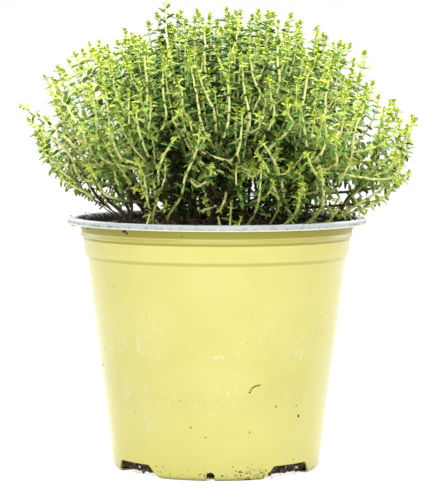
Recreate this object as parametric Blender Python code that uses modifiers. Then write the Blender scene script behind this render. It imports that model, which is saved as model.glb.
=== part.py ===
"""A bushy pot of thyme: a thin thermoformed nursery pot, its root ball, woody stems and leafy sprigs.

Metres, +Z up. The origin is the middle of the pot's underside, which rests on the table.
Angle 0 is the pot's front, towards -Y, and angles grow towards +X.
"""

import math

import bmesh
import bpy
from mathutils import Vector

# Pot: one sheet of plastic, with a flange and a turned-down lip at its mouth.
SHEET = 0.0009
POT_HEIGHT = 0.1100
RIM_RADIUS = 0.0650
LIP_DEPTH = 0.0026
LIP_ROUND = 0.0005
MOUTH_RADIUS = 0.0613
NECK_TOP_RADIUS = 0.0606
NECK_LOW_RADIUS = 0.0587
NECK_LOW_HEIGHT = 0.1033
BEAD_RADIUS = 0.0592
BEAD_HEIGHT = 0.1022
GROOVE_RADIUS = 0.0582
GROOVE_HEIGHT = 0.1010
BAND_RADIUS = 0.0585
BAND_TOP = 0.1003
BAND_LOW = 0.0953
STEP_LOW = 0.0917
STEP_SHOULDER_SHARE = 0.3
STEP_SHOULDER_RISE = 0.0006
BODY_FOOT_RADIUS = 0.0448
BODY_SLOPE = 0.125
FOOT_ROUND = 0.0038
FOOT_STEPS = 4
LIP_STEPS = 2
TURN_STEPS = 48
MERGE_DISTANCE = 0.00002

# Drainage, cut through the corner between the wall and the floor.
DRAIN_COUNT = 4
DRAIN_TURN = math.radians(-4.5)
DRAIN_SPACING = 2 * math.pi / DRAIN_COUNT
SLOT_HALF_ANGLE = math.radians(15)
SLOT_TOP_SHARE = 0.80
SLOT_HEIGHT = 0.0056
SLOT_INNER_RADIUS = 0.0380
NOTCH_RADIUS = 0.00185
NOTCH_CENTRE_HEIGHT = 0.0008
NOTCH_LENGTH = 0.0080
NOTCH_SIDES = 14
CUT_CLEARANCE = 0.0020

# Root ball, which fills the pot to a few millimetres below the rim.
GAP = 0.0003
SOIL_EDGE_RADIUS = NECK_LOW_RADIUS - SHEET - GAP
SOIL_EDGE_HEIGHT = 0.1038
SOIL_MOUND_HEIGHT = 0.0035
SOIL_MOUND_POINTS = 6

# Plant: rings of sprigs, each carried by one woody stem. radius and height place a sprig's centre,
# rise is its angle above the horizontal in degrees, and the thick values are the stem's diameters.
OUTER_RING = dict(count=12, first=0.0, radius=0.0585, height=0.1410, rise=36, half_length=0.0330,
                  half_width=0.0145, foot_radius=0.0280, foot_thick=0.0030, top_thick=0.0020)
MIDDLE_RING = dict(count=8, first=15.0, radius=0.0340, height=0.1635, rise=60, half_length=0.0300,
                   half_width=0.0124, foot_radius=0.0165, foot_thick=0.0032, top_thick=0.0022)
CROWN_RING = dict(count=3, first=50.0, radius=0.0121, height=0.1715, rise=84, half_length=0.0315,
                  half_width=0.0096, foot_radius=0.0070, foot_thick=0.0034, top_thick=0.0022)
SPRIG_TAPER = 0.35
SPRIG_SEGMENTS = 12
SPRIG_RINGS = 9
STEM_BEND_SHARE = 0.4
STEM_CURVE_STEPS = 6
STEM_BEVEL_RESOLUTION = 2


def clear_scene():
    for thing in list(bpy.data.objects):
        bpy.data.objects.remove(thing, do_unlink=True)


def make_collection(name):
    collection = bpy.data.collections.new(name)
    bpy.context.scene.collection.children.link(collection)
    return collection


def make_material(name, color, roughness):
    material = bpy.data.materials.new(name)
    material.use_nodes = True
    shader = material.node_tree.nodes["Principled BSDF"]
    shader.inputs["Base Color"].default_value = (*color, 1.0)
    shader.inputs["Roughness"].default_value = roughness
    shader.inputs["Metallic"].default_value = 0.0
    return material


def around(angle, radius, height):
    """The point at an angle from the front, a distance from the axis and a height."""
    return Vector((radius * math.sin(angle), -radius * math.cos(angle), height))


def arc(centre, radius, start, end, steps):
    """Profile points (radius, height) of a round stretch, between two angles in degrees."""
    angles = [math.radians(start + (end - start) * i / steps) for i in range(steps + 1)]
    return [(centre[0] + radius * math.cos(a), centre[1] + radius * math.sin(a)) for a in angles]


def body_radius(height):
    return BODY_FOOT_RADIUS + BODY_SLOPE * height


def lip_outline():
    """Over the rim: the flange's outer rounding, then the lip's outer face, foot and inner face."""
    lip_foot = POT_HEIGHT - LIP_DEPTH
    rounding = arc((RIM_RADIUS - LIP_ROUND, POT_HEIGHT - LIP_ROUND), LIP_ROUND, 90, 0, LIP_STEPS)
    return rounding + [
        (RIM_RADIUS, lip_foot),
        (RIM_RADIUS - SHEET, lip_foot),
        (RIM_RADIUS - SHEET, POT_HEIGHT - SHEET),
    ]


def wall_outline():
    """The outer side, from under the flange down past the bead, the band and the step to the floor."""
    step_radius = body_radius(STEP_LOW)
    shoulder_radius = step_radius + STEP_SHOULDER_SHARE * (BAND_RADIUS - step_radius)
    foot_centre = (body_radius(FOOT_ROUND) - FOOT_ROUND, FOOT_ROUND)
    return [
        (NECK_TOP_RADIUS, POT_HEIGHT - SHEET),
        (NECK_LOW_RADIUS, NECK_LOW_HEIGHT),
        (BEAD_RADIUS, BEAD_HEIGHT),
        (GROOVE_RADIUS, GROOVE_HEIGHT),
        (BAND_RADIUS, BAND_TOP),
        (BAND_RADIUS, BAND_LOW),
        (shoulder_radius, STEP_LOW + STEP_SHOULDER_RISE),
        (step_radius, STEP_LOW),
    ] + arc(foot_centre, FOOT_ROUND, 0, -90, FOOT_STEPS)


def cavity_outline(clearance):
    """The inner side from the middle of the floor up to the groove, moved inwards by a clearance."""
    inset = SHEET + clearance
    return [
        (0.0, inset),
        (body_radius(0.0) - FOOT_ROUND / 2 - inset, inset),
        (body_radius(FOOT_ROUND) - inset, FOOT_ROUND),
        (body_radius(STEP_LOW) - inset, STEP_LOW),
        (BAND_RADIUS - inset, BAND_LOW),
        (GROOVE_RADIUS - inset, GROOVE_HEIGHT),
    ]


def pot_outline():
    neck = [
        (NECK_LOW_RADIUS - SHEET, NECK_LOW_HEIGHT),
        (NECK_TOP_RADIUS - SHEET, POT_HEIGHT - 2 * SHEET),
        (MOUTH_RADIUS, POT_HEIGHT),
    ]
    return cavity_outline(0.0) + neck + lip_outline() + wall_outline() + [(0.0, 0.0)]


def soil_height(radius):
    """Height of the gently mounded soil at a distance from the axis."""
    return SOIL_EDGE_HEIGHT + SOIL_MOUND_HEIGHT * (1 - (radius / SOIL_EDGE_RADIUS) ** 2)


def soil_outline():
    radii = [SOIL_EDGE_RADIUS * i / SOIL_MOUND_POINTS for i in range(SOIL_MOUND_POINTS + 1)]
    return [(radius, soil_height(radius)) for radius in radii] + cavity_outline(GAP)[::-1]


def turned(name, outline, material, collection):
    """A closed solid of revolution from a profile at +X that runs down its outer side."""
    mesh = bpy.data.meshes.new(name)
    bm = bmesh.new()
    points = [bm.verts.new((radius, 0.0, height)) for radius, height in outline]
    for first, second in zip(points, points[1:]):
        bm.edges.new((first, second))
    bm.to_mesh(mesh)
    bm.free()
    mesh.materials.append(material)
    thing = bpy.data.objects.new(name, mesh)
    collection.objects.link(thing)
    screw = thing.modifiers.new("turn", "SCREW")
    screw.axis = "Z"
    screw.steps = TURN_STEPS
    screw.render_steps = TURN_STEPS
    screw.use_merge_vertices = True
    screw.merge_threshold = MERGE_DISTANCE
    screw.use_smooth_shade = True
    return thing


def keep_as_cutter(cutter, name, collection):
    for holder in list(cutter.users_collection):
        holder.objects.unlink(cutter)
    collection.objects.link(cutter)
    cutter.name = name
    cutter.hide_render = True
    cutter.display_type = "WIRE"
    return cutter


def slot_cutter(index, collection):
    """A wedge that opens the pot's lower corner, narrower at its top."""
    angle = DRAIN_TURN + (index + 0.5) * DRAIN_SPACING
    outer_radius = body_radius(SLOT_HEIGHT) + CUT_CLEARANCE
    width = 2 * body_radius(0.0) * math.sin(SLOT_HALF_ANGLE)
    depth = outer_radius - SLOT_INNER_RADIUS
    height = SLOT_HEIGHT + CUT_CLEARANCE
    centre = around(angle, SLOT_INNER_RADIUS + depth / 2, SLOT_HEIGHT - height / 2)
    bpy.ops.mesh.primitive_cube_add(size=1, location=centre, rotation=(0, 0, angle))
    cutter = bpy.context.object
    for vertex in cutter.data.vertices:
        x, y, z = vertex.co
        taper = SLOT_TOP_SHARE if z > 0 else 1.0
        vertex.co = (x * width * taper, y * depth, z * height)
    return keep_as_cutter(cutter, f"slot_cutter_{index + 1}", collection)


def notch_cutter(index, collection):
    """A small round-topped notch through the wall's foot, midway between two slots."""
    angle = DRAIN_TURN + index * DRAIN_SPACING
    centre = around(angle, body_radius(0.0), NOTCH_CENTRE_HEIGHT)
    bpy.ops.mesh.primitive_cylinder_add(vertices=NOTCH_SIDES, radius=NOTCH_RADIUS, depth=NOTCH_LENGTH,
                                        location=centre, rotation=(math.pi / 2, 0, angle))
    return keep_as_cutter(bpy.context.object, f"notch_cutter_{index + 1}", collection)


def build_pot(material, parts, cutters):
    pot = turned("pot", pot_outline(), material, parts)
    for index in range(DRAIN_COUNT):
        for cutter in (slot_cutter(index, cutters), notch_cutter(index, cutters)):
            cut = pot.modifiers.new(cutter.name, "BOOLEAN")
            cut.operation = "DIFFERENCE"
            cut.object = cutter


def sprig_place(ring, index):
    """The angle, centre and direction of growth of one sprig in its ring."""
    angle = math.radians(ring["first"]) + index * 2 * math.pi / ring["count"]
    rise = math.radians(ring["rise"])
    direction = around(angle, math.cos(rise), math.sin(rise))
    return angle, around(angle, ring["radius"], ring["height"]), direction


def build_sprig(name, ring, index, material, collection):
    """The soft outer shape of one sprig's leaves: an egg, slimmer where its stem enters."""
    _, centre, direction = sprig_place(ring, index)
    bm = bmesh.new()
    bmesh.ops.create_uvsphere(bm, u_segments=SPRIG_SEGMENTS, v_segments=SPRIG_RINGS, radius=1.0)
    turn = direction.to_track_quat("Z", "Y")
    for vertex in bm.verts:
        x, y, z = vertex.co
        width = ring["half_width"] * (1 + SPRIG_TAPER * z)
        vertex.co = turn @ Vector((x * width, y * width, z * ring["half_length"]))
    mesh = bpy.data.meshes.new(name)
    bm.to_mesh(mesh)
    bm.free()
    mesh.shade_smooth()
    mesh.materials.append(material)
    sprig = bpy.data.objects.new(name, mesh)
    sprig.location = centre
    collection.objects.link(sprig)


def build_stem(name, ring, index, material, collection):
    """A woody stem that leaves the soil upright and leans into its sprig."""
    angle, centre, direction = sprig_place(ring, index)
    foot = around(angle, ring["foot_radius"], soil_height(ring["foot_radius"]) + GAP)
    top = centre - direction * (ring["half_length"] + GAP)
    bend = (top - foot).length * STEM_BEND_SHARE
    curve = bpy.data.curves.new(name, "CURVE")
    curve.dimensions = "3D"
    curve.resolution_u = STEM_CURVE_STEPS
    curve.bevel_depth = ring["foot_thick"] / 2
    curve.bevel_resolution = STEM_BEVEL_RESOLUTION
    curve.use_fill_caps = True
    curve.materials.append(material)
    spline = curve.splines.new("BEZIER")
    spline.bezier_points.add(1)
    lower, upper = spline.bezier_points
    for point, place, heading in ((lower, foot, Vector((0, 0, 1))), (upper, top, direction)):
        point.co = place
        point.handle_left = place - heading * bend
        point.handle_right = place + heading * bend
    upper.radius = ring["top_thick"] / ring["foot_thick"]
    stem = bpy.data.objects.new(name, curve)
    collection.objects.link(stem)


def main():
    clear_scene()
    parts = make_collection("potted_thyme")
    cutters = make_collection("cutters")
    plastic = make_material("lime_plastic", (0.78, 0.76, 0.30), 0.40)
    peat = make_material("peat_soil", (0.035, 0.026, 0.018), 0.95)
    bark = make_material("thyme_bark", (0.30, 0.22, 0.11), 0.75)
    leaf = make_material("thyme_leaf", (0.12, 0.24, 0.06), 0.55)
    build_pot(plastic, parts, cutters)
    turned("root_ball", soil_outline(), peat, parts)
    number = 0
    for ring in (OUTER_RING, MIDDLE_RING, CROWN_RING):
        for index in range(ring["count"]):
            number += 1
            build_stem(f"woody_stem_{number:02d}", ring, index, bark, parts)
            build_sprig(f"leafy_sprig_{number:02d}", ring, index, leaf, parts)


main()
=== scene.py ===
import math
import random

import bmesh
import bpy
import numpy as np
from mathutils import Matrix, Vector, noise


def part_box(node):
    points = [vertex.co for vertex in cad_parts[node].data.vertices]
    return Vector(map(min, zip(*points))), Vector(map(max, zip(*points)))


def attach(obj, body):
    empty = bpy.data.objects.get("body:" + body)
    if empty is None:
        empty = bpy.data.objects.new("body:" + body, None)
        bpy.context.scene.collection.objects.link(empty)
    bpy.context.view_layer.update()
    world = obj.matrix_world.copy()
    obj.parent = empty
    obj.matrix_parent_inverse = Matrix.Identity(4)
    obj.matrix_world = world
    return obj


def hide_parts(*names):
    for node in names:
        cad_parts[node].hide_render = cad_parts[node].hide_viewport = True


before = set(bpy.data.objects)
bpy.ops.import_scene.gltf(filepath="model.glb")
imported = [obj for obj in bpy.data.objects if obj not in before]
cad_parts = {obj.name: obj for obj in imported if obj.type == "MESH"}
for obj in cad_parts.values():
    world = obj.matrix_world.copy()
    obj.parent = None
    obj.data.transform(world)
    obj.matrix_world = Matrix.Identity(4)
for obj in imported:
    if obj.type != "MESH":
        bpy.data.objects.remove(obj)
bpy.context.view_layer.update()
mm = 0.001
fullTurn = 2 * math.pi
up = Vector((0, 0, 1))


def linear(code):  # sRGB hex to the linear colour that the shader wants
    parts = [int(code[i:i + 2], 16) / 255 for i in (1, 3, 5)]
    return [c / 12.92 if c <= 0.04045 else ((c + 0.055) / 1.055) ** 2.4 for c in parts] + [1.0]


def fill(node, values):
    # A value that is a node or a socket is linked; a node stands for its first output in use
    for name, value in values.items():
        if isinstance(value, bpy.types.Node):
            value = next(socket for socket in value.outputs if socket.enabled)
        if isinstance(value, bpy.types.NodeSocket):
            node.id_data.links.new(value, node.inputs[name])
        elif isinstance(name, int) or name in node.inputs:
            node.inputs[name].default_value = value
        else:
            setattr(node, name, value)


def addNode(owner, kind, values, stops=()):
    node = owner.node_tree.nodes.new("ShaderNode" + kind)
    fill(node, values)
    if stops:
        points = node.color_ramp.elements
        while len(points) < len(stops):
            points.new(0.5)
        for point, (place, colour) in zip(points, stops):
            point.position = place
            point.color = linear(colour)
    return node


def startMaterial(name):  # gives the material, and addNode for that material
    material = bpy.data.materials.new(name)
    material.use_nodes = True
    return material, lambda *values: addNode(material, *values)


def finishMaterial(material, values):
    fill(material.node_tree.nodes["Principled BSDF"], values)
    return material


def around(angle, radius, height):  # angle 0 is the front, towards -Y, and grows towards +X
    return Vector((radius * math.sin(angle), -radius * math.cos(angle), height))


def blendWays(first, second, share):
    return (first * (1 - share) + second * share).normalized()


def ramp(value, start, end):  # 0 at start, 1 at end and beyond
    return min(1.0, max(0.0, (value - start) / (end - start)))


def toMesh(name, bm):
    mesh = bpy.data.meshes.new(name)
    bm.to_mesh(mesh)
    bm.free()
    return mesh


def addObject(name, data):
    thing = bpy.data.objects.new(name, data)
    bpy.context.scene.collection.objects.link(thing)
    return thing


def newPiece(name, bm, slot, *materials, replaced=None):
    for vert in bm.verts:
        vert.co.z = max(vert.co.z, 0.0)  # nothing dips into the floor
    mesh = toMesh(name, bm)
    for material in materials:
        mesh.materials.append(material)
    mesh.shade_smooth()
    piece = addObject(name, mesh)
    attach(piece, "root")
    if replaced:
        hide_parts(replaced)
    print(name + ":", len(mesh.polygons), "faces")
    return piece


def limeSheet(look):
    # Polypropylene sheet, coloured through and vacuum formed: satin, a little cloudy, with pale scuffs
    material, add = startMaterial("lime_polypropylene_sheet")
    place = add("TexCoord", {}).outputs["Object"]
    height = add("SeparateXYZ", {"Vector": place}).outputs["Z"]
    cloud = add("TexNoise", {"Vector": place, "Scale": 1 / (look["cloudSize"] * mm), "Detail": 3.0})
    even = add("ValToRGB", {"Fac": cloud}, [(0.3, look["deep"]), (0.7, look["pale"])])
    # the colour turns paler towards the foot
    towardsFoot = add("MapRange", {"Value": height, "From Min": look["footHeight"] * mm, "From Max": 0.0})
    base = add("Mix", {"data_type": "RGBA", 0: towardsFoot, 6: even, 7: linear(look["foot"])})

    # where the sheet has been rubbed: patches, the ring where stacked pots touch, and single marks
    patch = add("TexNoise", {"Vector": place, "Scale": 1 / (look["patchSize"] * mm)})
    patchShare = add("MapRange", {"Value": patch, "From Min": 0.48, "From Max": 0.72, "To Max": 0.17})
    belowBand = add("MapRange", {"Value": height, "From Min": 90 * mm, "From Max": 78 * mm,
                                 "To Min": -0.12, "To Max": 0.0})
    wearAndHighlight = add("Math", {"operation": "ADD", 0: patchShare, 1: belowBand})
    onRing = add("Math", {"operation": "COMPARE", 0: height, 1: look["ringHeight"] * mm, 2: 1.6 * mm})
    wearAndHighlight = add("Math", {"operation": "MULTIPLY_ADD", 0: onRing, 1: 0.07, 2: wearAndHighlight})
    for angle, markHeight, halfWidth, halfHeight, strength in look["marks"]:
        middle = around(math.radians(angle), wallRadius(markHeight * mm), markHeight * mm)
        size = (halfWidth * mm, halfWidth * mm, halfHeight * mm)
        away = add("VectorMath", {"operation": "SUBTRACT", 0: place, 1: middle})
        scaled = add("VectorMath", {"operation": "DIVIDE", 0: away, 1: size})
        far = add("VectorMath", {"operation": "LENGTH", 0: scaled})
        near = add("MapRange", {"Value": far, "From Min": 1.3, "From Max": 0.4, "To Max": strength})
        wearAndHighlight = add("Math", {"operation": "ADD", 0: near, 1: wearAndHighlight})
    upright = add("Mapping", {"Vector": place, "Scale": (1.0, 1.0, look["scuffStretch"])})
    scuff = add("TexNoise", {"Vector": upright, "Scale": 1 / (look["scuffWidth"] * mm), "Detail": 3.0})
    worn = add("Math", {"operation": "ADD", 0: scuff, 1: wearAndHighlight})
    wornShare = add("MapRange", {"Value": worn, "From Min": 0.66, "From Max": 0.90, "To Max": 0.65})
    colour = add("Mix", {"data_type": "RGBA", 0: wornShare, 6: base, 7: linear(look["scuff"])})

    # painted shade: the sheet is darkened in the neck, where the flange's shadow falls, and along the bead,
    # the groove below it and the step, where their shade falls
    foot = rimHeight - potShape["neckFoot"][1] * mm
    neckShade = add("MapRange", {"Value": height, "From Min": foot - 0.3 * mm, "From Max": foot + 0.3 * mm})
    colour = add("Mix", {"data_type": "RGBA", "blend_type": "MULTIPLY", 0: neckShade, 6: colour,
                         7: linear(look["neckShadeTint"])})
    for down, halfWidth, strength in look["shadedCreases"]:
        creaseShade = add("Math", {"operation": "COMPARE", 0: height, 1: rimHeight - down * mm,
                              2: halfWidth * mm})
        share = add("Math", {"operation": "MULTIPLY", 0: creaseShade, 1: strength})
        colour = add("Mix", {"data_type": "RGBA", "blend_type": "MULTIPLY", 0: share, 6: colour,
                             7: linear(look["creaseShadeTint"])})

    # soil splashed low down dries to fine brown dust
    low = add("MapRange", {"Value": height, "From Max": look["dustHeight"] * mm, "To Min": 0.14,
                           "To Max": 0.0})
    splash = add("TexNoise", {"Vector": place, "Scale": 1 / (look["splashSize"] * mm), "Detail": 4.0,
                              "Roughness": 0.7})
    splashed = add("Math", {"operation": "ADD", 0: low, 1: splash})
    dustShare = add("MapRange", {"Value": splashed, "From Min": 0.70, "From Max": 0.86, "To Max": 0.55})
    colour = add("Mix", {"data_type": "RGBA", 0: dustShare, 6: colour, 7: linear(look["dust"])})
    rough = add("MapRange", {"Value": wornShare, "To Min": 0.36, "To Max": 0.60})
    grain = add("TexNoise", {"Vector": place, "Scale": 1 / (look["grain"] * mm), "Detail": 2.0})
    bump = add("Bump", {"Height": grain, "Strength": 0.10, "Distance": 0.1 * mm})
    return finishMaterial(material, {"Base Color": colour, "Roughness": rough, "Normal": bump,
                                     "IOR": 1.49, "Sheen Weight": look["sheen"], "Sheen Roughness": 0.30,
                                     "Specular IOR Level": 0.55})


def paleSheet(look):
    # The sheet's inner layer, a pale blue-grey polypropylene that shows on the rim and inside, where
    # damp peat has dried on it in blotches, deepened to near black as painted shade on the inner wall below
    # the rim; the lip's top is a painted highlight
    material, add = startMaterial("pale_polypropylene_layer")
    place = add("TexCoord", {}).outputs["Object"]
    height = add("SeparateXYZ", {"Vector": place}).outputs["Z"]
    cloud = add("TexNoise", {"Vector": place, "Scale": 1 / (look["cloudSize"] * mm), "Detail": 4.0})
    base = add("ValToRGB", {"Fac": cloud}, [(0.3, look["rimDeep"]), (0.7, look["rimPale"])])
    # painted highlight: the lip's top 0.45 mm is lightened to near white
    topHighlight = add("MapRange", {"Value": height, "From Min": rimHeight - 0.45 * mm, "From Max": rimHeight,
                             "To Max": 0.95})
    wearAndHighlight = add("Mix", {"data_type": "RGBA", 0: topHighlight, 6: base, 7: linear(look["wearAndHighlight"])})
    level = add("VectorMath", {"operation": "MULTIPLY", 0: place, 1: (1.0, 1.0, 0.0)})
    radius = add("VectorMath", {"operation": "LENGTH", 0: level})
    mouth = rimRadius - potShape["mouthIn"] * mm
    inside = add("MapRange", {"Value": radius, "From Min": mouth, "From Max": mouth - 0.5 * mm,
                              "To Max": 0.3})
    lower = add("MapRange", {"Value": height, "From Min": rimHeight - 0.2 * mm,
                             "From Max": rimHeight - 3 * mm, "To Max": 0.3})
    # painted shade: the dried-peat blotches on the inner wall below the rim are deepened to near black
    dampAndShaded = add("Math", {"operation": "ADD", 0: inside, 1: lower})
    blotch = add("TexNoise", {"Vector": place, "Scale": 1 / (look["blotchSize"] * mm), "Detail": 5.0,
                              "Roughness": 0.7})
    blotchesAndShade = add("Math", {"operation": "ADD", 0: dampAndShaded, 1: blotch})
    stainAndShadeShare = add("MapRange", {"Value": blotchesAndShade, "From Min": 0.62, "From Max": 0.96, "To Max": 0.99})
    stainedAndShaded = add("Mix", {"data_type": "RGBA", 0: stainAndShadeShare, 6: wearAndHighlight, 7: linear(look["stainAndShade"])})
    rough = add("MapRange", {"Value": stainAndShadeShare, "To Min": 0.38, "To Max": 1.0})
    return finishMaterial(material, {"Base Color": stainedAndShaded, "Roughness": rough, "IOR": 1.49})


def cutEdge(look):
    # Where the sheet was trimmed both layers meet in a line, painted paler than either layer as a highlight
    # where the lip's edge catches the light
    material, add = startMaterial("trimmed_edge_painted_highlight")
    place = add("TexCoord", {}).outputs["Object"]
    fray = add("TexNoise", {"Vector": place, "Scale": 1 / (0.6 * mm)})
    base = add("ValToRGB", {"Fac": fray}, [(0.35, look["edgeHighlightDeep"]), (0.65, look["edgeHighlightPale"])])
    return finishMaterial(material, {"Base Color": base, "Roughness": 0.55})


def looseMatter(name, colours, grain, rough, bumpDepth):
    # Peat, perlite, bark or root: matt, broken-up matter with a coarse grain
    material, add = startMaterial(name)
    place = add("TexCoord", {}).outputs["Object"]
    speckle = add("TexNoise", {"Vector": place, "Scale": 1 / (grain * mm), "Detail": 5.0,
                               "Roughness": 0.65})
    stops = [(0.25 + 0.5 * i / (len(colours) - 1), colour) for i, colour in enumerate(colours)]
    base = add("ValToRGB", {"Fac": speckle}, stops)
    bump = add("Bump", {"Height": speckle, "Strength": 0.6, "Distance": bumpDepth * mm})
    return finishMaterial(material, {"Base Color": base, "Roughness": rough, "Normal": bump})


ageColumns = 40  # of the leaf map


def leafBlade(look):
    # Thyme leaf: a thick waxy blade, lime when young and dark green when old; its underside is mixed toward
    # a dull dark green as painted shade, and its midrib and margin are lightened as painted highlights. The
    # map is cut into columns, one for each age, and a blade lies across one column; its upper side is below
    # 0.5 and its underside above.
    material, add = startMaterial("waxy_thyme_leaf")
    leafMap = add("UVMap", {"uv_map": "OFBake"})
    parts = add("SeparateXYZ", {"Vector": leafMap})
    column = add("Math", {"operation": "MULTIPLY", 0: parts.outputs["X"], 1: ageColumns})
    across = add("Math", {"operation": "FRACT", 0: column})
    number = add("Math", {"operation": "FLOOR", 0: column})
    tone = add("Math", {"operation": "DIVIDE", 0: number, 1: ageColumns - 1})
    age = add("ValToRGB", {"Fac": tone}, look["ages"])
    # painted shade: the underside is mixed toward a dull dark green
    undersideShade = add("Math", {"operation": "GREATER_THAN", 0: parts.outputs["Y"], 1: 0.5})
    share = add("Math", {"operation": "MULTIPLY", 0: undersideShade, 1: look["undersideShadeShare"]})
    undersideShaded = add("Mix", {"data_type": "RGBA", 0: share, 6: age, 7: linear(look["undersideShade"])})
    # painted highlight: the midrib and the margin are lightened
    aside = add("Math", {"operation": "SUBTRACT", 0: across, 1: 0.5})
    fromRib = add("Math", {"operation": "ABSOLUTE", 0: aside})
    onRib = add("MapRange", {"Value": fromRib, "From Min": 0.12, "From Max": 0.03,
                             "To Max": look["ribHighlightShare"]})
    onEdge = add("MapRange", {"Value": fromRib, "From Min": 0.30, "From Max": 0.44,
                              "To Max": look["edgeHighlightShare"]})
    pale = add("Math", {"operation": "MAXIMUM", 0: onRib, 1: onEdge})
    ribHighlights = add("ValToRGB", {"Fac": tone}, look["ribHighlights"])
    highlighted = add("Mix", {"data_type": "RGBA", 0: pale, 6: undersideShaded, 7: ribHighlights})
    return finishMaterial(material, {"Base Color": highlighted, "Roughness": look["rough"], "IOR": 1.45,
                                     "Specular IOR Level": look["gloss"]})


def greenStem(look):
    # Young thyme stem: pale and finely downy, flushed pinkish-tan in places, brown towards its foot
    material, add = startMaterial("young_thyme_stem")
    place = add("TexCoord", {}).outputs["Object"]
    parts = add("SeparateXYZ", {"Vector": add("UVMap", {"uv_map": "OFBake"})})
    age = add("ValToRGB", {"Fac": parts.outputs["X"]}, look["ages"])
    blush = add("TexNoise", {"Vector": place, "Scale": 1 / (look["blushSize"] * mm), "Detail": 2.0})
    share = add("MapRange", {"Value": blush, "From Min": 0.46, "From Max": 0.64,
                             "To Max": look["blushShare"]})
    flushed = add("Mix", {"data_type": "RGBA", "blend_type": "MULTIPLY", 0: share, 6: age,
                          7: linear(look["blush"])})
    return finishMaterial(material, {"Base Color": flushed, "Roughness": look["rough"],
                                     "Specular IOR Level": look["gloss"]})


def woodyBark(look):
    # Old thyme stem: thin brown bark that splits along the stem
    material, add = startMaterial("flaking_thyme_bark")
    place = add("TexCoord", {}).outputs["Object"]
    parts = add("SeparateXYZ", {"Vector": add("UVMap", {"uv_map": "OFBake"})})
    flakes = add("TexNoise", {"Vector": place, "Scale": 1 / (look["flake"] * mm), "Detail": 3.0})
    age = add("Math", {"operation": "MULTIPLY_ADD", 0: flakes, 1: look["flakeShare"],
                       2: parts.outputs["X"]})
    base = add("ValToRGB", {"Fac": age}, look["ages"])
    bump = add("Bump", {"Height": flakes, "Strength": 0.5, "Distance": 0.2 * mm})
    return finishMaterial(material, {"Base Color": base, "Roughness": 0.8, "Normal": bump})


potLow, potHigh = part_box("pot")
rimRadius = (potHigh.x - potLow.x) / 2
rimHeight = potHigh.z - 0.8 * mm  # the soft rim sits a little lower than the box round it

potShape = {  # millimetres: how far in from the rim's edge and how far down from its top
    "sheet": 0.8,
    "lipDepth": 2.6,
    "lipRound": 0.7,
    "mouthIn": 3.7,
    "neckTop": (4.4, 0.9),
    "neckFoot": (6.3, 6.1),
    "bead": (5.65, 7.65),
    "bandTop": (6.85, 8.4),
    "bandFoot": (7.55, 16.0),
    "step": (8.74, 17.7),
    "foot": 20.1,
    "footRound": 2.7,
    "turnSteps": 144,
    "longest": 9.0,           # stretch of wall between two rings of points
    "sharpFrom": 38,          # degrees between faces that shade as an edge
    "stiffFloor": 40.0,       # nothing within this radius waves
    "wave": 0.12,             # how far the wall is out of round
    "waveFade": (20.0, 92.0),  # the wave is whole above the first height and gone by the second
}
drain = {
    "turn": -3.1,  # degrees that the whole pattern is turned from the front
    "slot": {"quarters": (0.533, 1.467, 2.533, 3.467), "halfAngle": 18.2, "height": 5.7, "topShare": 0.69,
             "rounding": 0.8, "inner": 30.0, "seen": (2.4, 5.6)},  # heights of what is seen through it
    "notch": {"quarters": (0, 1, 2, 3), "halfAngle": 2.4, "height": 3.9, "topShare": 0.90, "rounding": 1.5,
              "inner": 38.0},
}
limeLook = {
    "pale": "#F0E98E", "deep": "#EAE282", "cloudSize": 26.0, "grain": 0.9, "sheen": 0.9,
    # the neck tint and the crease tint are painted shade
    "foot": "#FFF890", "footHeight": 34.0, "scuff": "#F8F5CC", "neckShadeTint": "#C0C07A",
    "creaseShadeTint": "#C6C07A",
    "shadedCreases": [(7.3, 0.75, 0.5), (8.75, 0.5, 1.0), (16.9, 0.7, 0.4)],  # down, half width, strength
    "scuffWidth": 1.5, "scuffStretch": 0.55, "patchSize": 24.0, "ringHeight": 54.0,
    "marks": [  # angle from the front, height, half width, half height, strength
        (-38.9, 57.7, 0.9, 3.6, 0.30), (-48.3, 57.5, 3, 2.4, 0.17), (-31.8, 70.2, 0.5, 1.3, 0.30),
        (0.4, 53.6, 3.5, 1, 0.24), (9.8, 45.9, 0.8, 0.8, 0.27), (5.4, 37.8, 0.8, 1.6, 0.27),
        (-10.4, 32.1, 1.4, 0.8, 0.26), (36.6, 35.7, 1.5, 2, 0.28), (-50.7, 35.3, 3.5, 4.5, 0.20),
        (-18, 35, 7, 4, 0.10), (20, 60, 6, 4, 0.09), (50.4, 18, 1.2, 3.4, 0.24),
    ],
    "dust": "#9C8A5A", "dustHeight": 11.0, "splashSize": 1.3,
}
# the near-white colour is a painted highlight on the lip's top, the edge colours are a painted highlight on
# the trimmed edge, and the near-black stain is dried peat deepened as painted shade
paleLook = {"cloudSize": 12.0, "rimPale": "#C9D3D5", "rimDeep": "#BECACD", "wearAndHighlight": "#FCFFFF",
            "blotchSize": 2.3, "stainAndShade": "#17110A", "edgeHighlightPale": "#FBFADC", "edgeHighlightDeep": "#F0EEC6"}


def roundedCorners(corners):
    # corners are (radius, height, rounding) in metres; each rounding becomes a short arc
    points = [Vector(corners[0][:2])]
    for before, here, after in zip(corners, corners[1:], corners[2:]):
        corner = Vector(here[:2])
        back = Vector(before[:2]) - corner
        ahead = Vector(after[:2]) - corner
        if not here[2]:
            points.append(corner)
            continue
        half = back.angle(ahead) / 2
        reach = min(here[2] / math.tan(half), back.length * 0.45, ahead.length * 0.45)
        radius = reach * math.tan(half)
        middle = corner + (back.normalized() + ahead.normalized()).normalized() * radius / math.sin(half)
        first = corner + back.normalized() * reach - middle
        last = corner + ahead.normalized() * reach - middle
        steps = max(2, round(math.degrees(first.angle(last)) / 18))
        for i in range(steps + 1):
            points.append(middle + first.slerp(last, i / steps) * radius)
    points.append(Vector(corners[-1][:2]))
    return points


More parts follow.
